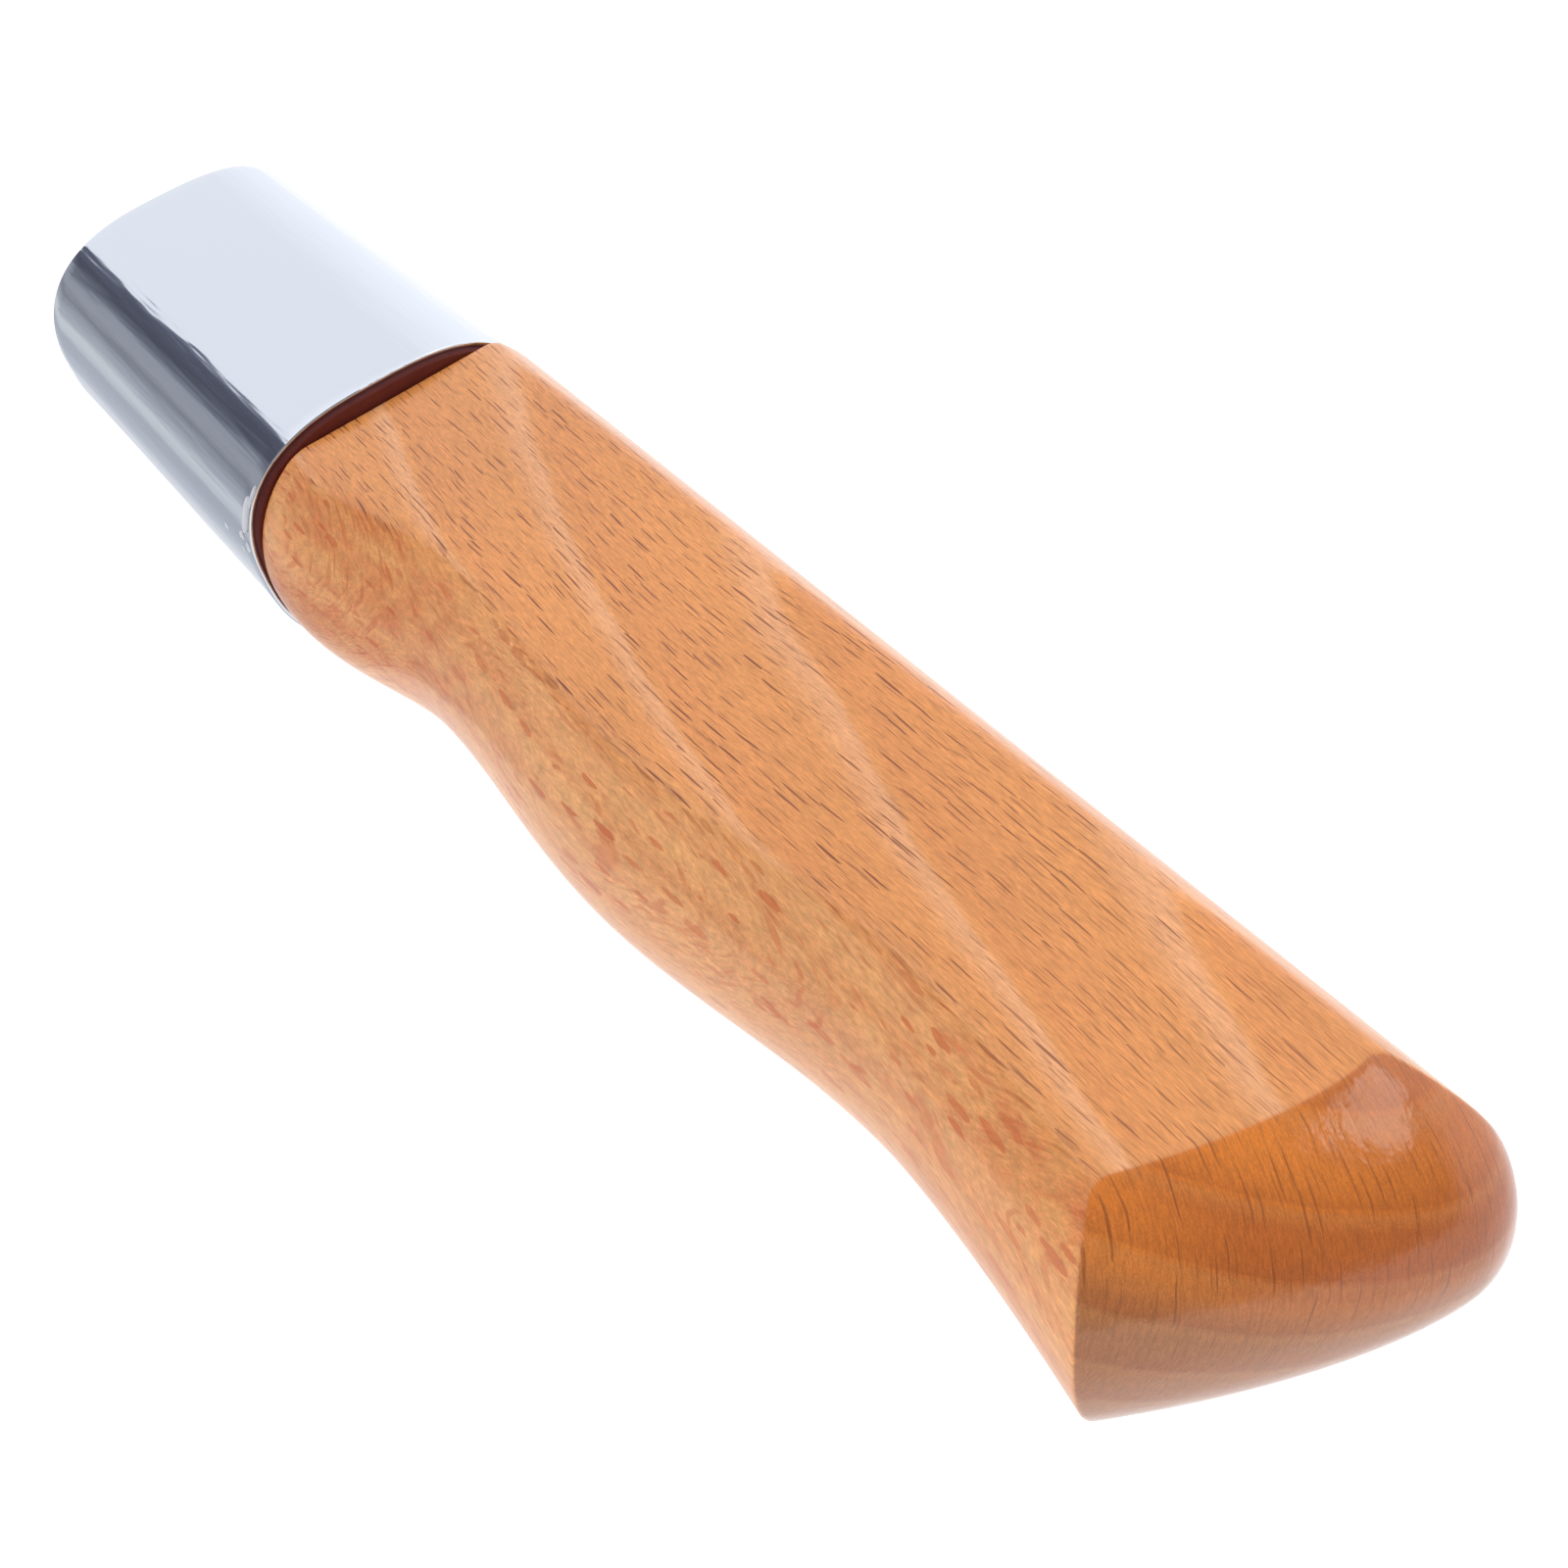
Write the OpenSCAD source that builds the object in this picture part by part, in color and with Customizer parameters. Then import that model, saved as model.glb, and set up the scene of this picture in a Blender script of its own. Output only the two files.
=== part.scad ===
// Replacement handle for a hand tool with a plain tang: one shaped beech grip,
// one chrome-plated steel ferrule pressed over its tenon, and the dark resin that beds the ferrule.
// +X runs out of the tang hole towards the tool, +Y is the finger (belly) side, -Y the spine, and
// +Z is up off a broad face. The origin is the middle of the tang hole's mouth.

/* [Grip] */
// Length of the grip that shows behind the ferrule, from its rim to the furthest point of the butt
grip_len = 122.5; // [102:0.5:147]
// Thickness of the grip between its two broad flat faces
grip_thick = 22.8; // [19:0.1:27.4]
// How far the spine stands proud of the ferrule's side at the ferrule
spine_proud = 1.2; // [0.6:0.1:2]
// How much closer to the axis the spine runs at the butt than at the ferrule
spine_taper = 1.8; // [0:0.1:3]
// How far the spine's rounding stands out from the edges of the flat faces
spine_bulge = 4.7; // [3:0.1:7]
// Rounding of the long edges between the flat faces and the sides
arris_r = 1.1; // [0.6:0.1:2]
// Easing of the front edge of the grip at its shoulder
shoulder_ease = 0.6; // [0.3:0.1:1]

/* [Finger side] */
// Depth of the belly below the line of the ferrule's side, right at the ferrule
belly_start = 0.5; // [0:0.1:1.2]
// Depth of the front swell below that line
swell_depth = 0.1; // [-1:0.1:0.4]
// Distance of the front swell behind the ferrule's rim
swell_at = 4.5; // [4:0.5:12]
// Depth of the first finger groove
groove_1_depth = 3.7; // [2:0.1:5]
// Distance of the first finger groove behind the rim
groove_1_at = 28; // [22:0.5:36]
// Depth of the hump between the two finger grooves
hump_depth = 2.1; // [1:0.1:3.5]
// Distance of the hump behind the rim
hump_at = 54; // [46:0.5:62]
// Depth of the second finger groove
groove_2_depth = 5.7; // [3:0.1:7]
// Distance of the second finger groove behind the rim
groove_2_at = 89; // [75:0.5:92]
// Depth of the beak at the butt
beak_depth = 0.7; // [-1:0.1:3]
// How far the belly's rounding stands out from the edges of the flat faces, at the ferrule
belly_bulge_front = 7.5; // [5:0.1:9]
// The same at the butt
belly_bulge_butt = 5.8; // [4:0.1:9]

/* [Butt] */
// How far the beak stops short of the furthest point of the butt
butt_slant = 11.4; // [6:0.1:13.5]
// Crown of the end face through the thickness, at the beak
beak_dome = 8.4; // [5:0.1:10]
// The same at the spine
spine_dome = 10.4; // [5:0.1:12]
// Width across the rounded corner on the spine side
butt_corner_w = 6.2; // [4:0.1:9]
// Depth along the grip of that rounded corner
butt_corner_l = 5; // [3:0.1:8]

/* [Ferrule] */
// Length of the ferrule
ferrule_len = 54; // [45:0.5:65]
// Outside width of the ferrule, across the finger side and the spine
ferrule_w = 33; // [30:0.5:40]
// How far the ferrule's crowned faces stand above the grip's flat faces
ferrule_rise = 1.8; // [1.5:0.1:2.6]
// Wall of the drawn steel tube
ferrule_wall = 0.5; // [0.4:0.05:0.8]
// Squareness of the ferrule's finger side: 2 is an ellipse, more is squarer
belly_square = 2.5; // [2.1:0.05:2.8]
// Squareness of the ferrule's spine side
spine_square = 3.15; // [2.6:0.05:3.6]

/* [Tang hole and bedding] */
// Diameter of the tang hole
tang_hole_d = 6.5; // [5:0.1:9]
// Depth of the tang hole's straight part
tang_hole_depth = 90; // [70:1:110]
// How far the tenon's end sits inside the ferrule's mouth
tenon_recess = 1; // [0.3:0.1:2]
// Thickness of the bedding resin between the tenon and the ferrule
bed_gap = 0.8; // [0.5:0.1:1.1]
// Depth of the tenon's two flats below the grip's flat faces
tenon_flat_drop = 0.5; // [0.3:0.1:1]
// Open joint between the ferrule's rim and the grip's shoulder, filled with resin
shoulder_gap = 0.7; // [0.3:0.1:1.2]
// How far the resin in that joint stands in from the line of the ferrule's bore
resin_sink = 0.15; // [0.05:0.05:0.3]

/* [Hidden] */

side_y = ferrule_w / 2;
half_thick = grip_thick / 2;
crown_z = half_thick + ferrule_rise;
rim_x = tenon_recess - ferrule_len;
shoulder_x = rim_x - shoulder_gap;
butt_x = rim_x - grip_len;
drill_tip_angle = 118;
overlap = 1;

// Half widths of the grip at its ends, from the axis.
beak_y = side_y - beak_depth;
spine_front = side_y + spine_proud;
spine_butt = spine_front - spine_taper;
butt_w = beak_y + spine_butt;
corner_share = butt_corner_w / butt_w;

// Powers of the curves from the butt's furthest point round to the beak, of the beak's flare out
// from the second groove, and of the end face's crown.
slant_power = 1.5;
flare_power = 1.5;
dome_power = 2.3;

// Mesh of the shaped grip: stations along it, and points on each stretch of its section.
stations = 44;
flank_steps = 10;
fillet_steps = 3;
flat_steps = 7;
cap_rings = 8;
ease_steps = 3;
solve_steps = 10;
outline_steps = 96;

// Distance behind the ferrule's rim of a place at x.
function behind(x) = rim_x - x;

// Half a cosine wave from one value to the next: the flowing line between a hump and a groove.
function wave(from, to, t) = from + (to - from) * (1 - cos(180 * t)) / 2;

// Depth of the belly below the ferrule's side at distance d behind the rim.
function belly_depth(d) =
    d < swell_at ? belly_start + (swell_depth - belly_start) * sin(90 * max(d, 0) / swell_at) :
    d < groove_1_at ? wave(swell_depth, groove_1_depth, (d - swell_at) / (groove_1_at - swell_at)) :
    d < hump_at ? wave(groove_1_depth, hump_depth, (d - groove_1_at) / (hump_at - groove_1_at)) :
    d < groove_2_at ? wave(hump_depth, groove_2_depth, (d - hump_at) / (groove_2_at - hump_at)) :
    groove_2_depth + (beak_depth - groove_2_depth)
        * pow((d - groove_2_at) / (grip_len - groove_2_at), flare_power);

// How much the eased front edge takes off the section at distance d behind the shoulder.
function ease(d) =
    d >= shoulder_ease ? 0 :
    shoulder_ease * (1 - sqrt(1 - pow(1 - max(d, 0) / shoulder_ease, 2)));

// Half widths, flank bulge and half thickness of the section at x.
function share(x) = min(max(behind(x) / grip_len, 0), 1);
function belly_y(x) = side_y - belly_depth(behind(x)) - ease(shoulder_x - x);
function spine_y(x) = spine_front - spine_taper * share(x) - ease(shoulder_x - x);
function belly_bulge(x) = belly_bulge_front + (belly_bulge_butt - belly_bulge_front) * share(x);
function half_z(x) = half_thick - ease(shoulder_x - x);

// Radius of the arc that bulges out by b over a chord of half height h.
function arc_r(h, b) = (h * h + b * b) / (2 * b);

// Point [y, z] on a flank at height share s from -1 to 1: an arc from one flat face to the other,
// whose outermost point is reach and whose ends lie b nearer to the axis.
function flank(reach, b, h, s) =
    let (r = arc_r(h, b), a = asin(h / r) * s)
    [reach - r + r * cos(a), r * sin(a)];

// Share of the flank's arc that the arris rounding leaves straight on.
function kept(h, b) = 1 - arris_r / arc_r(h, b);

// Rounded arris at the top of a flank, t from 0 on the arc to 1 on the flat face.
function arris(reach, b, h, t) =
    let (p = flank(reach, b, h, kept(h, b)), c = [reach - b, h], q = [reach - b - arris_r, h])
    (1 - t) * (1 - t) * p + 2 * t * (1 - t) * c + t * t * q;

// The places round the section, each [kind, side, s]: side is 1 on the belly and -1 on the spine,
// and s is how far along its stretch the place lies.
FLANK = 0;
TOP_ARRIS = 1;
TOP_FLAT = 2;
BOTTOM_ARRIS = 3;
BOTTOM_FLAT = 4;
fillet = [for (i = [1 : fillet_steps]) i / fillet_steps];
fillet_back = [for (i = [fillet_steps : -1 : 1]) i / fillet_steps];
flat = [for (i = [1 : flat_steps]) i / (flat_steps + 1)];
places = concat(
    [for (i = [0 : flank_steps]) [FLANK, 1, -1 + 2 * i / flank_steps]],
    [for (s = fillet) [TOP_ARRIS, 1, s]],
    [for (s = flat) [TOP_FLAT, 1, s]],
    [for (s = fillet_back) [TOP_ARRIS, -1, s]],
    [for (i = [0 : flank_steps]) [FLANK, -1, 1 - 2 * i / flank_steps]],
    [for (s = fillet) [BOTTOM_ARRIS, -1, s]],
    [for (s = flat) [BOTTOM_FLAT, -1, s]],
    [for (s = fillet_back) [BOTTOM_ARRIS, 1, s]]
);
ring_n = len(places);

// Point [y, z] of the section at x for one of the places.
function section(x, place) =
    let (
        kind = place[0], side = place[1], s = place[2],
        h = half_z(x),
        belly = belly_y(x), spine = spine_y(x), bulge = belly_bulge(x),
        reach = side > 0 ? belly : spine,
        b = side > 0 ? bulge : spine_bulge,
        belly_edge = belly - bulge - arris_r,
        spine_edge = spine - spine_bulge - arris_r,
        flat_w = belly_edge + spine_edge,
        p = kind == FLANK ? flank(reach, b, h, s * kept(h, b)) : arris(reach, b, h, s)
    )
    kind == TOP_FLAT ? [belly_edge - s * flat_w, h] :
    kind == BOTTOM_FLAT ? [-spine_edge + s * flat_w, -h] :
    [side * p[0], kind == BOTTOM_ARRIS ? -p[1] : p[1]];

// The end face: how far short of the butt's furthest point it lies, for a share w of the width
// from the beak (0) to the spine (1), and for a height z.
function end_plan(w) =
    w < 1 - corner_share
        ? butt_slant * pow(1 - w / (1 - corner_share), slant_power)
        : butt_corner_l * (1 - sqrt(1 - pow((w - 1 + corner_share) / corner_share, 2)));
function end_x(y, z) =
    let (w = min(max((beak_y - y) / butt_w, 0), 1))
    butt_x + end_plan(w)
        + (beak_dome + (spine_dome - beak_dome) * w) * pow(abs(z) / half_thick, dome_power);

// Where the line of one place on the section meets the end face, solved by repeated substitution.
function meet(place, x, n) =
    n == 0 ? x :
    let (p = section(x, place)) meet(place, end_x(p[0], p[1]), n - 1);

// Stations along the grip, from 0 at the shoulder to 1 at the end face, close at the eased edge.
ease_share = shoulder_ease / (grip_len - shoulder_gap);
along = concat(
    [for (i = [0 : ease_steps - 1]) ease_share * pow(i / ease_steps, 2)],
    [for (i = [0 : stations]) ease_share + (1 - ease_share) * i / stations]
);
ring_count = len(along);

module grip_body() {
    ends = [for (place = places) meet(place, butt_x, solve_steps)];
    sides = [
        for (t = along) for (j = [0 : ring_n - 1])
            let (x = shoulder_x + t * (ends[j] - shoulder_x), p = section(x, places[j]))
            [x, p[0], p[1]]
    ];
    last = [for (j = [0 : ring_n - 1]) sides[(ring_count - 1) * ring_n + j]];
    mid_y = (beak_y - spine_butt) / 2;
    cap = [
        for (k = [1 : cap_rings - 1]) for (j = [0 : ring_n - 1])
            let (s = 1 - k / cap_rings, y = mid_y + s * (last[j][1] - mid_y), z = s * last[j][2])
            [end_x(y, z), y, z]
    ];
    points = concat(sides, cap, [[end_x(mid_y, 0), mid_y, 0]]);
    rows = ring_count + cap_rings - 1;
    tip = rows * ring_n;
    faces = concat(
        [[for (j = [ring_n - 1 : -1 : 0]) j]],
        [for (i = [0 : rows - 2]) for (j = [0 : ring_n - 1])
            let (k = (j + 1) % ring_n, a = i * ring_n, b = a + ring_n)
            each [[a + j, b + k, b + j], [a + j, a + k, b + k]]],
        [for (j = [0 : ring_n - 1])
            let (a = (rows - 1) * ring_n) [a + j, a + (j + 1) % ring_n, tip]]
    );
    polyhedron(points, faces, convexity = 6);
}

// Outline of the ferrule taken in by inset: half a superellipse on the finger side, and a squarer
// half on the spine side.
function signed_pow(v, p) = sign(v) * pow(abs(v), p);
function ferrule_outline(inset) = [
    for (i = [0 : outline_steps - 1])
        let (a = 360 * i / outline_steps, n = cos(a) > 0 ? belly_square : spine_square)
        [(side_y - inset) * signed_pow(cos(a), 2 / n), (crown_z - inset) * signed_pow(sin(a), 2 / n)]
];

// A straight prism along X between two places, with its section given as [y, z] points.
module prism(points, from_x, to_x) {
    translate([from_x, 0, 0]) rotate([90, 0, 90])
        linear_extrude(height = to_x - from_x) polygon(points);
}

module tenon(from_x, to_x) {
    flat_z = half_thick - tenon_flat_drop;
    intersection() {
        prism(ferrule_outline(ferrule_wall + bed_gap), from_x, to_x);
        translate([from_x - overlap, -ferrule_w, -flat_z])
            cube([to_x - from_x + 2 * overlap, 2 * ferrule_w, 2 * flat_z]);
    }
}

module grip() {
    tip_len = tang_hole_d / 2 / tan(drill_tip_angle / 2);
    color("sandybrown") difference() {
        union() {
            grip_body();
            tenon(shoulder_x - overlap, 0);
        }
        translate([-tang_hole_depth, 0, 0]) rotate([0, 90, 0])
            cylinder(d = tang_hole_d, h = tang_hole_depth + overlap, $fn = 64);
        translate([-tang_hole_depth, 0, 0]) rotate([0, -90, 0])
            cylinder(d1 = tang_hole_d, d2 = 0, h = tip_len, $fn = 64);
    }
}

module ferrule() {
    color("gainsboro") difference() {
        prism(ferrule_outline(0), rim_x, rim_x + ferrule_len);
        prism(ferrule_outline(ferrule_wall), rim_x - overlap, rim_x + ferrule_len + overlap);
    }
}

module bedding_resin() {
    color("saddlebrown") difference() {
        union() {
            prism(ferrule_outline(ferrule_wall), rim_x, 0);
            prism(ferrule_outline(ferrule_wall + resin_sink), shoulder_x, rim_x + overlap);
        }
        tenon(shoulder_x - overlap, overlap);
    }
}

grip();
ferrule();
bedding_resin();
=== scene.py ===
from math import radians
import bpy
import numpy as np
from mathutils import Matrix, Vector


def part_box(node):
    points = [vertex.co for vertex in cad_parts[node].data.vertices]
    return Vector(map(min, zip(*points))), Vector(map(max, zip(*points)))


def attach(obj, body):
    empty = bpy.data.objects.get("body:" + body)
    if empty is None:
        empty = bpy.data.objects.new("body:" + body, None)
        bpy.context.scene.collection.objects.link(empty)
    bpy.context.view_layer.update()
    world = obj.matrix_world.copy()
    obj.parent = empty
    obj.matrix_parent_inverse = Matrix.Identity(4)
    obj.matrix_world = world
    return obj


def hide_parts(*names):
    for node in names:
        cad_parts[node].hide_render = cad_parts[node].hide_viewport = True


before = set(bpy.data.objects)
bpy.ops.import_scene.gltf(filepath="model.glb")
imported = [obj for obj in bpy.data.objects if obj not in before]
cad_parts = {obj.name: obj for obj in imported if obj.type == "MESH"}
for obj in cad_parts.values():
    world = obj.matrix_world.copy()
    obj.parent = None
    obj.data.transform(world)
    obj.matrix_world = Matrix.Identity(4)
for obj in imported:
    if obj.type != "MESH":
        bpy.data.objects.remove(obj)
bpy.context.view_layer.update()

# ---------------------------------------------------------------------------------------------
# The camera: a short normal lens held close to the butt, above it and a little to the finger
# side, and rolled so that the handle runs across the view from corner to corner.
# ---------------------------------------------------------------------------------------------
MM = 0.001
camera_data = bpy.data.cameras.new("camera")
camera_data.sensor_width = 36
camera_data.lens = 45.7
camera_data.clip_start = 0.01
camera = bpy.data.objects.new("camera", camera_data)
camera.location = (-212.5 * MM, 41.3 * MM, 112.1 * MM)
camera.rotation_euler = [radians(a) for a in (43.37, 11.5, -125.79)]
bpy.context.scene.collection.objects.link(camera)
bpy.context.scene.camera = camera

# ---------------------------------------------------------------------------------------------
# The grip: one piece of steamed beech, shaped on a spindle, with a stepped tenon at the front,
# a blind tang hole drilled into it, and a crowned butt sanded across the end grain. It is
# finished in clear semi-gloss lacquer. The two broad faces are flat; both sides are barrelled.
# ---------------------------------------------------------------------------------------------
rim_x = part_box("ferrule")[0][0] / MM
mouth_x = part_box("ferrule")[1][0] / MM
side_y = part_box("ferrule")[1][1] / MM
crown_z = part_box("ferrule")[1][2] / MM
butt_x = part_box("grip")[0][0] / MM
shoulder_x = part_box("bedding_resin")[0][0] / MM
half_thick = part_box("grip")[1][2] / MM
grip_len = rim_x - butt_x

# The spine side: how far it stands from the middle at the rim, and how much less at the butt. Then
# the rounding of the long edges and of the shoulder's edge.
spine_front = side_y + 1.2
spine_taper = 1.8
arris_r = 1.1
shoulder_ease = 0.6

# The finger side: how far each place lies behind the rim, and how deep it is below the line of the
# ferrule's side. It starts belly_start deep at the rim, and flares out to the beak by a power curve.
swell_at, swell_depth = 4.5, 0.1
groove_1_at, groove_1_depth = 28, 3.7
hump_at, hump_depth = 54, 2.1
groove_2_at, groove_2_depth = 89, 5.7
belly_start, beak_depth = 0.5, 0.7
flare_power = 1.5

# How far the round of each side stands out beyond the corner where it would meet a flat face.
belly_bulge_front, belly_bulge_butt, spine_bulge = 7.5, 5.8, 4.7

# The butt: its slant and its crown from the beak to the spine, and the spine's rounded corner.
butt_slant, slant_power = 11.4, 1.5
beak_dome, spine_dome, dome_power = 8.4, 10.4, 2.3
butt_corner_w, butt_corner_l = 6.2, 5

# The tenon inside the ferrule, the ferrule's squareness on each side, and the tang hole with its
# chamfered mouth and the cone that the drill leaves.
ferrule_wall, bed_gap, tenon_flat_drop = 0.5, 0.8, 0.5
belly_square, spine_square = 2.5, 3.15
tang_hole_r, tang_hole_depth = 3.25, 90
mouth_chamfer, drill_cone = 0.25, 1.9

beak_y = side_y - beak_depth
spine_butt = spine_front - spine_taper
butt_w = beak_y + spine_butt
mid_y = (beak_y - spine_butt) / 2


def belly_reach(x):
    """Half width on the finger side at x: half cosine waves between the swell, the first groove,
    the hump and the second groove, then a power curve out to the beak."""
    d = np.clip(rim_x - x, 0, None)
    places = [0, swell_at, groove_1_at, hump_at, groove_2_at]
    depths = [belly_start, swell_depth, groove_1_depth, hump_depth, groove_2_depth]
    start = belly_start + (swell_depth - belly_start) * np.sin(np.pi / 2 * d / swell_at)
    waves = [start]
    for i in (1, 2, 3):
        t = (d - places[i]) / (places[i + 1] - places[i])
        waves.append(depths[i] + (depths[i + 1] - depths[i]) * (1 - np.cos(np.pi * t)) / 2)
    t = np.clip((d - groove_2_at) / (grip_len - groove_2_at), 0, None)
    waves.append(groove_2_depth + (beak_depth - groove_2_depth) * t ** flare_power)
    return side_y - np.select([d < p for p in places[1:]], waves[:4], waves[4])


def section(x, u):
    """Point of the section at x, u going once round from 0 to 1: a flank arc on the finger side, a
    rounded arris, the flat top, an arris, the spine's arc, an arris, the flat underside, an arris."""
    far = np.clip((rim_x - x) / grip_len, 0, 1)
    d = np.clip((shoulder_x - x) / shoulder_ease, 0, 1)
    ease = shoulder_ease * (1 - np.sqrt(1 - (1 - d) ** 2))
    h = half_thick - ease
    stretch = np.clip(np.floor(u * 8), 0, 7).astype(int)
    s = u * 8 - stretch
    on_belly = (stretch == 0) | (stretch == 1) | (stretch == 7)
    spine_reach = spine_front - spine_taper * far
    belly_bulge = belly_bulge_front + (belly_bulge_butt - belly_bulge_front) * far
    reach = np.where(on_belly, belly_reach(x), spine_reach) - ease
    bulge = np.where(on_belly, belly_bulge, spine_bulge)
    r = (h * h + bulge * bulge) / (2 * bulge)
    kept = 1 - arris_r / r
    half_angle = np.arcsin(h / r) * kept
    angle = np.where(stretch % 4 == 0, (2 * s - 1) * half_angle, half_angle)
    arc_y, arc_z = reach - r + r * np.cos(angle), r * np.sin(angle)
    t = np.where(np.isin(stretch, (1, 5)), s, 1 - s)
    corner_y, edge_y = reach - bulge, reach - bulge - arris_r
    fillet_y = (1 - t) ** 2 * arc_y + 2 * t * (1 - t) * corner_y + t ** 2 * edge_y
    fillet_z = (1 - t) ** 2 * arc_z + 2 * t * (1 - t) * h + t ** 2 * h
    belly_edge = belly_reach(x) - ease - arris_r - belly_bulge
    spine_edge = spine_reach - ease - spine_bulge - arris_r
    top_y = belly_edge - s * (belly_edge + spine_edge)
    under_y = -spine_edge + s * (belly_edge + spine_edge)
    on_stretch = [stretch == i for i in range(7)]
    y = np.select(on_stretch, [arc_y, fillet_y, top_y, -fillet_y, -arc_y, -fillet_y, under_y],
                  fillet_y)
    z = np.select(on_stretch, [arc_z, fillet_z, h, fillet_z, -arc_z, -fillet_z, -h], -fillet_z)
    return y, z


def end_face(y, z):
    """The butt's end: a curve in plan from the beak round to the spine's rounded corner, crowned
    through the thickness by a power of the height."""
    w = np.clip((beak_y - y) / butt_w, 0, 1)
    corner = butt_corner_w / butt_w
    slant = butt_slant * np.clip(1 - w / (1 - corner), 0, 1) ** slant_power
    v = np.clip((w - 1 + corner) / corner, 0, 1)
    rounded = butt_corner_l * (1 - np.sqrt(1 - v * v))
    dome = beak_dome + (spine_dome - beak_dome) * w
    return butt_x + slant + rounded + dome * (np.abs(z) / half_thick) ** dome_power


def superellipse(inset, angle):
    """The ferrule's outline taken in by inset: a soft half on the finger side and a squarer half
    on the spine side."""
    n = np.where(np.cos(angle) > 0, belly_square, spine_square)
    y = (side_y - inset) * np.sign(np.cos(angle)) * np.abs(np.cos(angle)) ** (2 / n)
    z = (crown_z - inset) * np.sign(np.sin(angle)) * np.abs(np.sin(angle)) ** (2 / n)
    return y, z


def closed_skin(name, rings, poles):
    """A closed mesh through rings of equal length, an array [ring, point, xyz] in millimetres. It
    is capped by one point at each pole, or joins its last ring to its first if poles is None."""
    count, n = rings.shape[:2]
    a = np.arange(n)
    b = (a + 1) % n
    rows = range(count - 1) if poles is not None else range(count)
    quads = np.concatenate([np.stack([a + i * n, a + (i + 1) % count * n,
                                      b + (i + 1) % count * n, b + i * n], 1) for i in rows])
    points = rings.reshape(-1, 3)
    faces = quads.tolist()
    if poles is not None:
        points = np.vstack([points, poles])
        first, last = count * n, count * n + 1
        faces += np.stack([np.full(n, first), a, b], 1).tolist()
        faces += np.stack([b + (count - 1) * n, a + (count - 1) * n, np.full(n, last)], 1).tolist()
    mesh = bpy.data.meshes.new(name)
    mesh.from_pydata((points * MM).tolist(), [], faces)
    mesh.shade_smooth()
    mesh.set_sharp_from_angle(angle=radians(38))
    piece = bpy.data.objects.new(name, mesh)
    bpy.context.scene.collection.objects.link(piece)
    return piece


# Where the sides meet the end face: each is worked out from the other until they agree.
AROUND = 320
u = (np.arange(AROUND) + 0.5) / AROUND
x_end = np.full(AROUND, butt_x)
for _ in range(30):
    y, z = section(x_end, u)
    x_end = end_face(y, z)

# Stations along the body, crowded at the eased shoulder and just before the end face.
near_shoulder = (1 - np.cos(np.linspace(0, np.pi / 2, 7)))[:-1] * shoulder_ease
along = np.concatenate([near_shoulder / (shoulder_x - butt_x),
                        np.linspace(shoulder_ease / (shoulder_x - butt_x), 0.992, 170),
                        [0.995, 0.9975]])
body_x = shoulder_x + along[:, None] * (x_end - shoulder_x)
body = np.stack([body_x, *section(body_x, np.broadcast_to(u, body_x.shape))], 2)
rim_y, rim_z = section(x_end, u)
edge = np.stack([x_end, rim_y, rim_z], 1)


def cap_ring(s):
    """The end face's ring at share s of its outline, from the rim (1) to the middle (0)."""
    y, z = mid_y + s * (rim_y - mid_y), s * rim_z
    return np.stack([end_face(y, z), y, z], 1)


# The edge of the butt is softened by a quadratic curve from the side to the end face.
soft_to = 0.975
side_point, cap_point = body[-1], cap_ring(soft_to)
softened = np.stack([(1 - t) ** 2 * side_point + 2 * t * (1 - t) * edge + t * t * cap_point
                     for t in (0.25, 0.5, 0.75)])
cap = np.stack([cap_ring(s) for s in np.linspace(soft_to, 0.02, 44)])

# The tenon and the tang hole, with their points in line with the body's.
turn = np.arctan2(body[0, :, 2] / half_thick, (body[0, :, 1] + 0.6) / side_y)
tenon_y, tenon_z = superellipse(ferrule_wall + bed_gap, turn)
flat_z = half_thick - tenon_flat_drop
tenon_z = np.clip(tenon_z, -flat_z, flat_z)
circle = np.arctan2(tenon_z, tenon_y)


def ring_at(x, y, z):
    """A flat ring across the handle at x."""
    return np.stack([np.full(AROUND, float(x)), y, z], 1)


def hole_ring(x, r):
    """A ring of the tang hole at x."""
    return ring_at(x, r * np.cos(circle), r * np.sin(circle))


front = np.stack(
    [hole_ring(-tang_hole_depth - drill_cone * (1 - s), tang_hole_r * s) for s in (0.05, 0.5, 1)]
    + [hole_ring(x, tang_hole_r) for x in np.linspace(-tang_hole_depth + 1, -0.4, 24)]
    + [hole_ring(0, tang_hole_r + mouth_chamfer)]
    + [ring_at(0, *(np.array([tenon_y, tenon_z]) * s)) for s in (0.5, 0.75, 0.985)]
    + [ring_at(-0.25, tenon_y, tenon_z)]
    + [ring_at(x, tenon_y, tenon_z) for x in np.linspace(-2, shoulder_x + 0.3, 8)]
    + [ring_at(shoulder_x, tenon_y, tenon_z)])
rings = np.concatenate([front, body, softened, cap])
tip = [-tang_hole_depth - drill_cone - 0.05, 0, 0]
grip = closed_skin("grip_beech", rings, [tip, [end_face(mid_y, 0), mid_y, 0]])

# How much of the cut across the grain shows at each point: all of it on the butt and the tenon's
# end, none along the sides.
on_end = np.zeros(len(rings))
on_end[len(front) + len(body) + 1:] = 1
on_end[:len(front) - 10] = 1
end_grain = np.concatenate([np.repeat(on_end, AROUND), [1, 1]])
grip.data.attributes.new("end_grain", "FLOAT", "POINT").data.foreach_set("value", end_grain)


def linear(hex_colour):
    """A #RRGGBB colour as linear red, green, blue and alpha."""
    channels = [int(hex_colour[i:i + 2], 16) / 255 for i in (1, 3, 5)]
    return [c / 12.92 if c <= 0.04045 else ((c + 0.055) / 1.055) ** 2.4 for c in channels] + [1]


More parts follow.
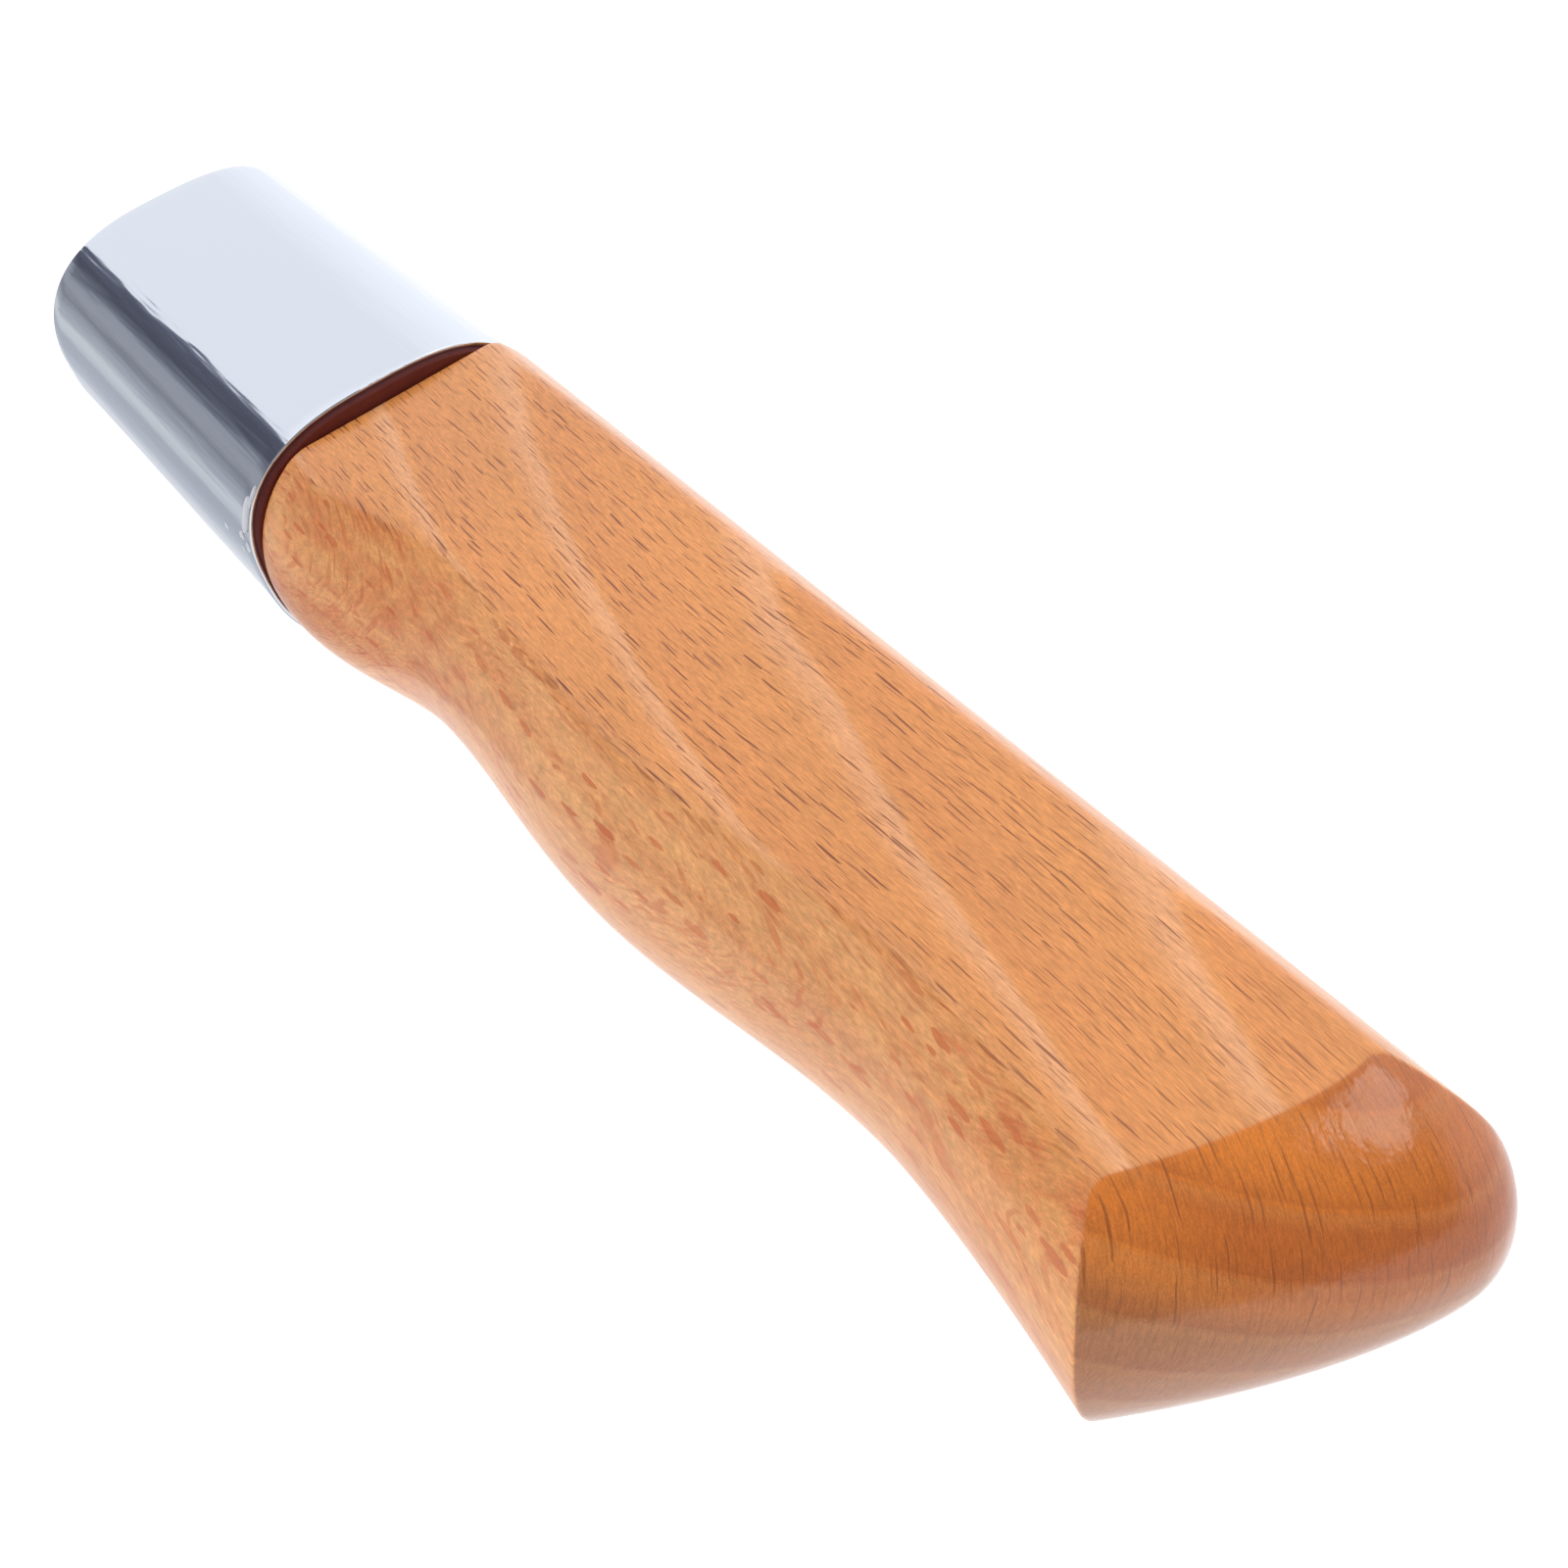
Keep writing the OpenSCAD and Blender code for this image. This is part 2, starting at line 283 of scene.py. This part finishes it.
def node(tree, kind, inputs=None, **settings):
    """Adds one node: settings are its own properties, and inputs gives each socket, by name or
    number, a value or another node's output to link."""
    made = tree.nodes.new(kind)
    for key, value in settings.items():
        setattr(made, key, value)
    for key, value in (inputs or {}).items():
        if isinstance(value, bpy.types.NodeSocket):
            tree.links.new(value, made.inputs[key])
        else:
            made.inputs[key].default_value = value
    return made


def new_material(name):
    """An empty material, its node tree and its shader."""
    made = bpy.data.materials.new(name)
    made.use_nodes = True
    return made, made.node_tree, made.node_tree.nodes["Principled BSDF"]


def lacquered_beech():
    """Steamed beech under clear semi-gloss lacquer. The whole pattern is solid, in the tree's own
    coordinates: along the grain, round the heart, and out from the heart. Beech's rays are thin
    dark sheets that run outwards, so they read as short dashes on the broad faces, as flecks on
    the sides and as fine lines on the end."""
    material, tree, shader = new_material("lacquered_beech")

    def vector(operation, *values):
        """One vector step on the given values."""
        return node(tree, "ShaderNodeVectorMath", dict(enumerate(values)),
                    operation=operation).outputs[0]

    def number(operation, *values):
        """One step of arithmetic on the given values."""
        return node(tree, "ShaderNodeMath", dict(enumerate(values)),
                    operation=operation).outputs[0]

    def mixed(share, first, second):
        """The second colour over the first by share."""
        return node(tree, "ShaderNodeMix", {0: share, 6: first, 7: second},
                    data_type="RGBA").outputs[2]

    def ranged(value, low, high, to_low, to_high, kind="LINEAR"):
        """The value's range from low to high moved to another."""
        return node(tree, "ShaderNodeMapRange", {0: value, 1: low, 2: high, 3: to_low, 4: to_high},
                    interpolation_type=kind).outputs[0]

    def noise(at, detail=2, roughness=0.5):
        """Soft noise with features about one unit across."""
        return node(tree, "ShaderNodeTexNoise", {"Vector": at, "Scale": 1, "Detail": detail,
                                                 "Roughness": roughness})

    # The tree's coordinates in mm. Its heart runs nearly along the handle, above it and to the
    # spine side. The grain wanders a little, and the rays ripple.
    heart_y, heart_z, heart_distance = -28, 92, 97
    place = node(tree, "ShaderNodeTexCoord").outputs["Object"]
    in_mm = vector("MULTIPLY", place, (1000, 1000, 1000))
    drift = vector("SUBTRACT", noise(vector("MULTIPLY", in_mm, (0.02, 0.03, 0.03)), 1)
                   .outputs["Color"], (0.5, 0.5, 0.5))
    quiver = vector("SUBTRACT", noise(vector("MULTIPLY", in_mm, (0.12, 0.2, 0.2)), 2)
                    .outputs["Color"], (0.5, 0.5, 0.5))
    moved = vector("ADD", in_mm, vector("MULTIPLY", drift, (0, 4, 0.9)))
    moved = vector("ADD", moved, vector("MULTIPLY", quiver, (0, 0.5, 0.3)))
    ripple = vector("SUBTRACT", noise(vector("MULTIPLY", in_mm, (0.06, 0.15, 0.45)), 1)
                    .outputs["Color"], (0.5, 0.5, 0.5))
    moved = vector("ADD", moved, vector("MULTIPLY", ripple, (0, 0.45, 0)))
    xyz = node(tree, "ShaderNodeSeparateXYZ", {0: moved}).outputs
    across, down = number("SUBTRACT", xyz[1], heart_y), number("SUBTRACT", heart_z, xyz[2])
    outwards = number("SQRT", number("ADD", number("MULTIPLY", across, across),
                                     number("MULTIPLY", down, down)))
    around = number("ADD", number("MULTIPLY", number("ARCTAN2", across, down), heart_distance),
                    number("ADD", number("MULTIPLY", xyz[0], 0.025),
                           number("MULTIPLY", xyz[2], 0.2)))
    outwards = number("ADD", outwards, number("MULTIPLY", xyz[0], 0.08))
    wood = node(tree, "ShaderNodeCombineXYZ", {0: xyz[0], 1: around, 2: outwards}).outputs[0]

    # What frays the edges of the flecks.
    chips = noise(vector("MULTIPLY", wood, (0.9, 1.4, 1.8)), 2).outputs["Fac"]

    def rays(spacing, half_size, shift, solid, ragged=0.0):
        """Thin sheets, one to a cell of the given spacing in mm along the grain, round the heart
        and outwards. half_size is a large sheet's half length along each; inside the share solid
        of that it is full, and its edge wanders by the share ragged. Gives a mask."""
        cell = vector("DIVIDE", vector("ADD", wood, shift), spacing)
        nearest = node(tree, "ShaderNodeTexVoronoi", {"Vector": cell, "Scale": 1,
                                                      "Randomness": 0.85},
                       voronoi_dimensions="3D")
        off = vector("SUBTRACT", cell, nearest.outputs["Position"])
        off = vector("MULTIPLY", off, [s / h for s, h in zip(spacing, half_size)])
        length = node(tree, "ShaderNodeVectorMath", {0: off}, operation="LENGTH").outputs["Value"]
        chance = node(tree, "ShaderNodeSeparateColor", {0: nearest.outputs["Color"]}).outputs
        share = number("DIVIDE", length, ranged(chance[0], 0, 1, 0.5, 1.15))
        share = number("ADD", share, ranged(chips, 0, 1, -ragged, ragged))
        mask = ranged(share, solid, 1, 1, 0, "SMOOTHSTEP")
        return number("MULTIPLY", mask, ranged(chance[1], 0, 1, 0.5, 1))

    # Broad and narrow rays are sheets a fifth and an eighth of a millimetre thick. Where the finger
    # side runs almost along them, they show as the wider flecks.
    broad = rays((3.3, 0.8, 4.4), (2.1, 0.105, 2.6), (0, 0, 0), 0.6)
    narrow = rays((2.3, 0.5, 3.4), (1.3, 0.065, 2), (13, 7, 3), 0.4)
    flecks = rays((4.2, 1.25, 1.9), (1.75, 0.45, 0.36), (5, 11, 17), 0.8, 0.5)

    # Yearly growth: each ring starts pale, settles and darkens to a soft line. One run of years is
    # darker, and the years outside it are paler.
    ring_width, ring_shift = 3.35, 0.08
    year = number("SUBTRACT", number("DIVIDE", outwards, ring_width), ring_shift)
    season = number("FRACT", year)
    dark_years = number("MULTIPLY", ranged(outwards, 73, 75, 0, 1, "SMOOTHSTEP"),
                        ranged(outwards, 77.5, 80, 1, 0, "SMOOTHSTEP"))
    dark_years = number("MULTIPLY", dark_years, ranged(xyz[1], 1, 9, 1, 0.1, "SMOOTHSTEP"))
    pale_years = ranged(outwards, 76, 81.5, 0, 1, "SMOOTHSTEP")
    early = number("MULTIPLY", ranged(season, 0, 0.07, 0, 1, "SMOOTHSTEP"),
                   ranged(season, 0.07, 0.3, 1, 0, "SMOOTHSTEP"))
    late = number("MULTIPLY", ranged(season, 0.4, 0.94, 0, 1),
                  ranged(season, 0.94, 1, 1, 0, "SMOOTHSTEP"))

    # Which way the surface is cut: across the grain on the butt and the tenon's end, and round the
    # heart or along the rays on the long faces.
    end = node(tree, "ShaderNodeAttribute", attribute_name="end_grain").outputs["Fac"]
    normal = node(tree, "ShaderNodeNewGeometry").outputs["Normal"]
    side = node(tree, "ShaderNodeVectorMath", {0: normal, 1: (0, 0.9, 0.43)},
                operation="DOT_PRODUCT").outputs["Value"]
    side = ranged(number("ABSOLUTE", side), 0.4, 0.95, 0, 1, "SMOOTHSTEP")

    # The fine grain: fibres, in bundles 0.15 mm wide because single ones are too fine to show, the
    # pores between them, slow clouds of colour, and the curl that the lacquer brings out.
    fibre = noise(vector("MULTIPLY", wood, (0.5, 6.5, 1.6)), 3, 0.66).outputs["Fac"]
    pores = noise(vector("MULTIPLY", wood, (1.3, 13, 9)), 1).outputs["Fac"]
    cloud = noise(vector("MULTIPLY", wood, (0.05, 0.12, 0.14)), 3, 0.55).outputs["Fac"]
    curl = noise(vector("MULTIPLY", wood, (0.35, 0.5, 0.55)), 3, 0.6).outputs["Fac"]

    # The ground colour of the broad faces, of the sides, which are paler from the hump to the
    # second groove, and of the cut end, which is darker towards the spine.
    face = mixed(number("MULTIPLY", early, 0.55), linear("#DC8F4B"), linear("#E8AB7C"))
    face = mixed(number("MULTIPLY", late, 0.4), face, linear("#D58343"))
    flank = mixed(ranged(curl, 0.35, 0.65, 0, 1), linear("#D37C40"), linear("#DB9351"))
    flank = mixed(ranged(cloud, 0.42, 0.62, 0, 0.6), flank, linear("#E0A060"))
    pale_stretch = number("MULTIPLY", ranged(xyz[0], -75, -105, 0, 0.55, "SMOOTHSTEP"),
                          ranged(xyz[0], -165, -140, 0, 1, "SMOOTHSTEP"))
    flank = mixed(pale_stretch, flank, linear("#E2A56A"))
    flank = mixed(number("MULTIPLY", late, 0.25), flank, linear("#C96C36"))
    ground = mixed(side, face, flank)
    ground = vector("MULTIPLY", ground, ranged(cloud, 0.3, 0.7, 0.94, 1.06))
    cut = mixed(dark_years, linear("#DF7E27"), linear("#BC6320"))
    cut = mixed(ranged(xyz[1], 0, -14, 0, 0.5, "SMOOTHSTEP"), cut, linear("#99490F"))
    cut = mixed(pale_years, cut, linear("#AB6C3C"))
    cut = mixed(number("MULTIPLY", early, 0.2), cut, linear("#C98648"))
    cut = mixed(number("MULTIPLY", late, 0.3), cut, linear("#9A460C"))
    ground = mixed(end, ground, cut)
    ground = vector("MULTIPLY", ground, ranged(fibre, 0.3, 0.7, 0.82, 1.17))
    ground = vector("MULTIPLY", ground, ranged(pores, 0.35, 0.65, 0.9, 1.1))

    # The rays over the ground: dark brown on the broad faces and the end, and foxy red on the
    # sides. The broad ones are fainter towards the butt and in the pale years of the end.
    ray_colour = mixed(ranged(side, 0.6, 1, 0, 1), linear("#763008"), linear("#C2581E"))
    ray_colour = mixed(end, ray_colour, linear("#6B2F0A"))
    long_face = number("MULTIPLY", number("SUBTRACT", 1, end), side)
    ground = mixed(number("MULTIPLY", flecks, number("MULTIPLY", long_face, 0.75)), ground,
                   ray_colour)
    ground = mixed(number("MULTIPLY", narrow, ranged(end, 0, 1, 0.55, 0.2)), ground, ray_colour)
    broad_share = number("MULTIPLY", ranged(end, 0, 1, 0.95, 0.7), ranged(side, 0.5, 1, 1, 0.5))
    on_pale_end = number("MULTIPLY", end, ranged(outwards, 79, 82, 0, 0.75))
    broad_share = number("MULTIPLY", broad_share, number("SUBTRACT", 1, on_pale_end))
    broad_share = number("MULTIPLY", broad_share, ranged(xyz[0], -170, -120, 0.65, 1))
    ground = mixed(number("MULTIPLY", broad, broad_share), ground, ray_colour)
    tree.links.new(ground, shader.inputs["Base Color"])

    # The wood's own grain is nearly filled. The lacquer over it swells slightly with the curl, and
    # has a fuller gloss on the end.
    height = number("ADD", number("MULTIPLY", broad, -1), number("MULTIPLY", fibre, 0.6))
    bump = node(tree, "ShaderNodeBump", {"Height": height, "Strength": 0.25, "Distance": 0.00005})
    tree.links.new(bump.outputs[0], shader.inputs["Normal"])
    lacquer = node(tree, "ShaderNodeBump", {"Height": curl, "Strength": 0.3, "Distance": 0.0002})
    tree.links.new(lacquer.outputs[0], shader.inputs["Coat Normal"])
    shader.inputs["Roughness"].default_value = 0.5
    shader.inputs["IOR"].default_value = 1.45
    shader.inputs["Specular IOR Level"].default_value = 0.2
    tree.links.new(ranged(end, 0, 1, 0.6, 1), shader.inputs["Coat Weight"])
    shader.inputs["Coat Roughness"].default_value = 0.14
    return material


grip.data.materials.append(lacquered_beech())
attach(grip, "root")
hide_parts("grip")

# ---------------------------------------------------------------------------------------------
# The ferrule: a short length of thin drawn steel tube, pressed to a crowned oblong, its ends
# faced and deburred, then nickel and chrome plated. It is driven over the tenon.
# ---------------------------------------------------------------------------------------------
lip_r = 0.18  # of the deburred edges
turn = np.linspace(0, 2 * np.pi, AROUND, endpoint=False)


def ferrule_ring(x, inset):
    """The ferrule's section at x, taken in by inset from the outside."""
    return ring_at(x, *superellipse(inset, turn))


quarter = np.linspace(0, np.pi / 2, 5)
outside = [ferrule_ring(x, 0) for x in np.linspace(rim_x + lip_r, mouth_x - lip_r, 28)]
inside = [ferrule_ring(x, ferrule_wall) for x in np.linspace(mouth_x - lip_r, rim_x + lip_r, 28)]
front_out = [ferrule_ring(mouth_x - lip_r + lip_r * np.sin(a), lip_r * (1 - np.cos(a)))
             for a in quarter[1:]]
front_in = [ferrule_ring(mouth_x - lip_r + lip_r * np.sin(a),
                         ferrule_wall - lip_r * (1 - np.cos(a))) for a in quarter[::-1][:-1]]
rear_in = [ferrule_ring(rim_x + lip_r - lip_r * np.sin(a),
                        ferrule_wall - lip_r * (1 - np.cos(a))) for a in quarter[1:]]
rear_out = [ferrule_ring(rim_x + lip_r - lip_r * np.sin(a), lip_r * (1 - np.cos(a)))
            for a in quarter[::-1][:-1]]
rings = np.stack(outside + front_out + front_in + inside + rear_in + rear_out)
ferrule = closed_skin("ferrule_chrome", rings[::-1], None)


def chrome_plate():
    """Bright chrome over drawn steel. It mirrors its surroundings, a little pulled along the tube
    by the drawing marks, and the thin wall waves slightly. The marks are 0.2 mm apart here,
    because real ones are too fine to show."""
    material, tree, shader = new_material("chrome_plate")
    place = node(tree, "ShaderNodeTexCoord").outputs["Object"]
    waves_at = node(tree, "ShaderNodeVectorMath", {0: place, 1: (14, 170, 170)},
                    operation="MULTIPLY").outputs[0]
    waves = node(tree, "ShaderNodeTexNoise", {"Vector": waves_at, "Scale": 1, "Detail": 4,
                                              "Roughness": 0.55}).outputs["Fac"]
    marks_at = node(tree, "ShaderNodeVectorMath", {0: place, 1: (60, 5000, 5000)},
                    operation="MULTIPLY").outputs[0]
    marks = node(tree, "ShaderNodeTexNoise", {"Vector": marks_at, "Scale": 1,
                                              "Detail": 1}).outputs["Fac"]
    rough = node(tree, "ShaderNodeMapRange", {0: marks, 3: 0.05, 4: 0.12}).outputs[0]
    bump = node(tree, "ShaderNodeBump", {"Height": waves, "Strength": 0.5, "Distance": 0.0004})
    tree.links.new(bump.outputs[0], shader.inputs["Normal"])
    tree.links.new(rough, shader.inputs["Roughness"])
    shader.inputs["Base Color"].default_value = linear("#D1D5DA")
    shader.inputs["Metallic"].default_value = 1
    return material


ferrule.data.materials.append(chrome_plate())
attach(ferrule, "root")
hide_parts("ferrule")

# ---------------------------------------------------------------------------------------------
# The bedding: dark brown resin run in round the tenon before the ferrule is driven on. It fills
# the joint between the ferrule's rim and the grip's shoulder, a little below the metal. Its dark
# colour is partly the resin's own and partly painted shade of the joint.
# ---------------------------------------------------------------------------------------------
resin_sink = 0.15
resin_front = -0.05
outer_profile = ([(x, 0.0) for x in np.linspace(resin_front, rim_x + 0.15, 12)]
                 + [(rim_x, resin_sink), (rim_x - 0.35, resin_sink + 0.08), (shoulder_x, resin_sink)])
tenon_y, tenon_z = superellipse(ferrule_wall + bed_gap, turn)
tenon_z = np.clip(tenon_z, -flat_z, flat_z)
rings = [ferrule_ring(x, ferrule_wall + sink) for x, sink in outer_profile]
rings += [ring_at(x, tenon_y, tenon_z) for x in np.linspace(shoulder_x, resin_front, 10)]
resin = closed_skin("bedding_resin_collar", np.stack(rings), None)


def resin_with_painted_joint_shade():
    """Dark brown filled resin, cured hard, with a dull skin. Its dark colour is partly the resin's
    own and partly painted shade of the joint.
    """
    material, tree, shader = new_material("resin_with_painted_joint_shade")
    place = node(tree, "ShaderNodeTexCoord").outputs["Object"]
    grain = node(tree, "ShaderNodeTexNoise", {"Vector": place, "Scale": 900,
                                              "Detail": 2}).outputs["Fac"]
    # The two dark browns: the resin's own colour with the joint's shade painted into it.
    colour = node(tree, "ShaderNodeMix", {0: grain, 6: linear("#57150E"), 7: linear("#692216")},
                  data_type="RGBA").outputs[2]
    bump = node(tree, "ShaderNodeBump", {"Height": grain, "Strength": 0.3, "Distance": 0.0001})
    tree.links.new(colour, shader.inputs["Base Color"])
    tree.links.new(bump.outputs[0], shader.inputs["Normal"])
    shader.inputs["Roughness"].default_value = 0.5
    return material


resin.data.materials.append(resin_with_painted_joint_shade())
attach(resin, "root")
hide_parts("bedding_resin")

# ---------------------------------------------------------------------------------------------
# Clear glue: beads and specks of the thin adhesive that squeezed out at the rim and dried on the
# chrome, flattened where the rim was wiped.
# ---------------------------------------------------------------------------------------------
def bead(x, angle, along, across, rise):
    """A low domed bead on the ferrule's outside at x and at the given angle round it: a half
    ellipsoid whose half sizes are along, across and rise, with its edge just in the metal."""
    step = 1e-3
    (y, near_y), (z, near_z) = (np.array(v) for v in superellipse(
        0, np.radians(angle) + np.array([0, step])))
    tangent = np.array([0, near_y - y, near_z - z])
    tangent /= np.linalg.norm(tangent)
    outward = np.array([0, tangent[2], -tangent[1]])
    lon, lat = np.meshgrid(np.linspace(0, 2 * np.pi, 24, endpoint=False),
                           np.linspace(-0.35, np.pi / 2 - 0.05, 9))
    flat = np.sign(np.sin(lat)) * np.abs(np.sin(lat)) ** 0.8
    centre = np.array([x, y, z])
    rings = (centre + (along * np.cos(lat) * np.cos(lon))[..., None] * np.array([1, 0, 0])
             + (across * np.cos(lat) * np.sin(lon))[..., None] * tangent
             + (rise * flat)[..., None] * outward)
    return rings, [centre - 0.35 * rise * outward, centre + rise * outward]


# Each bead's distance in front of the rim, its angle in degrees, and its half sizes.
bead_sizes = [(0.75, 27, 0.55, 1.9, 0.32), (0.3, 36, 0.25, 1.2, 0.2), (1.9, 15.5, 0.5, 0.45, 0.2),
              (6.1, 11, 0.45, 0.4, 0.12), (0.9, 12, 0.4, 0.6, 0.12), (2.6, 8, 0.35, 0.3, 0.08)]
bead_list = [bead(rim_x + ahead, *sizes) for ahead, *sizes in bead_sizes]
parts = [closed_skin("clear_glue", r, p) for r, p in bead_list]
glue = parts[0]
with bpy.context.temp_override(active_object=glue, selected_editable_objects=parts):
    bpy.ops.object.join()


def clear_glue():
    """Dried clear adhesive: glassy, and picked out by its highlights. Its near-white colour is
    painted highlight over the clear glue.
    """
    material, tree, shader = new_material("clear_glue")
    # Painted highlight: the near-white base colour makes the clear beads read white.
    shader.inputs["Base Color"].default_value = linear("#F2F3F6")
    shader.inputs["Roughness"].default_value = 0.12
    shader.inputs["Transmission Weight"].default_value = 0.35
    shader.inputs["IOR"].default_value = 1.48
    return material


glue.data.materials.append(clear_glue())
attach(glue, "root")

# ---------------------------------------------------------------------------------------------
# The surroundings: a plain lit white table under a white tent with one shaded side, a small
# softbox over the butt, and two graded grey cards that only polished surfaces see.
# ---------------------------------------------------------------------------------------------
def flat_card(name, corners, colours, along, span):
    """A flat four-cornered sheet, corners in mm. It glows with a run of (share, colour) stops laid
    over the span in mm of the direction along. Only polished surfaces see it, and it casts no
    shadow."""
    mesh = bpy.data.meshes.new(name)
    mesh.from_pydata((np.array(corners) * MM).tolist(), [], [(0, 1, 2, 3)])
    card = bpy.data.objects.new(name, mesh)
    bpy.context.scene.collection.objects.link(card)
    material, tree, shader = new_material(name)
    place = node(tree, "ShaderNodeTexCoord").outputs["Object"]
    at = node(tree, "ShaderNodeVectorMath", {0: place, 1: along},
              operation="DOT_PRODUCT").outputs["Value"]
    share = node(tree, "ShaderNodeMapRange", {0: at, 1: span[0] * MM, 2: span[1] * MM}).outputs[0]
    ramp = node(tree, "ShaderNodeValToRGB", {0: share})
    stops = ramp.color_ramp.elements
    for _ in colours[2:]:
        stops.new(0.5)
    for stop, (position, colour) in zip(stops, colours):
        stop.position = position
        stop.color = linear(colour)
    emitted = node(tree, "ShaderNodeEmission", {0: ramp.outputs[0], 1: 1}).outputs[0]
    tree.links.new(emitted, tree.nodes["Material Output"].inputs["Surface"])
    mesh.materials.append(material)
    card.visible_camera = card.visible_diffuse = card.visible_shadow = False


# The handle rests on the ferrule's lower crown and on the butt, so the table leans by the small
# difference between them.
lean = (crown_z - half_thick) / (rim_x - (butt_x + spine_dome))
half_table = 3000
table_mesh = bpy.data.meshes.new("table")
table_mesh.from_pydata(
    [(x * half_table * MM, y * half_table * MM, (-crown_z + (rim_x - x * half_table) * lean) * MM)
     for x, y in ((-1, -1), (1, -1), (1, 1), (-1, 1))], [], [(0, 1, 2, 3)])
table = bpy.data.objects.new("table", table_mesh)
bpy.context.scene.collection.objects.link(table)

# The table glows nearly white by itself, and its grey base adds the handle's soft shadow.
table_material, _, table_shader = new_material("lit_white_table")
table_shader.inputs["Base Color"].default_value = linear("#8C8C8E")
table_shader.inputs["Roughness"].default_value = 0.9
table_shader.inputs["Emission Color"].default_value = linear("#FFFFFF")
table_shader.inputs["Emission Strength"].default_value = 0.95
table.data.materials.append(table_material)

flat_card("upright_card", [(-80, 120, -14), (900, 120, -14), (900, 120, 293), (-80, 120, 293)],
          [(0.0, "#CBCED6"), (0.09, "#AFB3BD"), (0.165, "#9295A0"), (0.25, "#AEB1BA"),
           (0.34, "#ABAEB9"), (0.43, "#7C7F8C"), (0.57, "#595B69"), (0.82, "#65687A"),
           (1.0, "#8E92A5")], along=(0, 0, 1), span=(-14, 293))
flat_card("table_card", [(-90, 17.5, -13.1), (900, 17.5, -13.1), (900, 120, -13.1),
                         (-90, 120, -13.1)],
          [(0.0, "#F0F2F8"), (0.05, "#CDD2DC"), (0.12, "#C0C5D0"), (0.22, "#C0C4CE"),
           (0.32, "#DDE0E6"), (0.55, "#E6E9EE"), (0.75, "#D8DBE2"), (1.0, "#CBCED6")],
          along=(0, 1, 0), span=(17.5, 120))

# The tent is brightest overhead and a little brighter on the spine side, and shaded above and
# behind the butt. Its backdrop shows as an even white.
world = bpy.data.worlds.new("tent")
world.use_nodes = True
bpy.context.scene.world = world
sky = world.node_tree
toward = node(sky, "ShaderNodeTexCoord").outputs["Generated"]
height = node(sky, "ShaderNodeSeparateXYZ", {0: toward}).outputs[2]
overhead = node(sky, "ShaderNodeMapRange", {0: height, 1: 0.6, 2: 1, 3: 1.2, 4: 1.7}).outputs[0]
shaded_side = node(sky, "ShaderNodeVectorMath", {0: toward, 1: (-0.74, 0.16, 0.65)},
                   operation="DOT_PRODUCT").outputs["Value"]
shade = node(sky, "ShaderNodeMapRange", {0: shaded_side, 1: 0.55, 2: 0.85, 3: 1, 4: 0.25},
             interpolation_type="SMOOTHSTEP").outputs[0]
sideways = node(sky, "ShaderNodeSeparateXYZ", {0: toward}).outputs[1]
lift = node(sky, "ShaderNodeMapRange", {0: sideways, 1: -0.75, 2: -0.3, 3: 1.25, 4: 1}).outputs[0]
strength = node(sky, "ShaderNodeMath", {0: overhead, 1: shade}, operation="MULTIPLY").outputs[0]
strength = node(sky, "ShaderNodeMath", {0: strength, 1: lift}, operation="MULTIPLY").outputs[0]
seen = node(sky, "ShaderNodeLightPath").outputs["Is Camera Ray"]
backdrop = node(sky, "ShaderNodeMix", {0: seen, 2: strength, 3: 1.05}).outputs[0]
sky.links.new(backdrop, sky.nodes["Background"].inputs["Strength"])
sky.nodes["Background"].inputs["Color"].default_value = linear("#F6F8FF")

softbox_data = bpy.data.lights.new("softbox", "AREA")
softbox_data.shape = "RECTANGLE"
softbox_data.size, softbox_data.size_y = 0.28, 0.16
softbox_data.energy = 0.42
softbox = bpy.data.objects.new("softbox", softbox_data)
softbox.location = (-0.49, -0.25, 0.46)
softbox.rotation_euler = [radians(a) for a in (43, 0, -53)]
bpy.context.scene.collection.objects.link(softbox)

# Colours show as they are, with no film curve.
bpy.context.scene.view_settings.view_transform = "Standard"
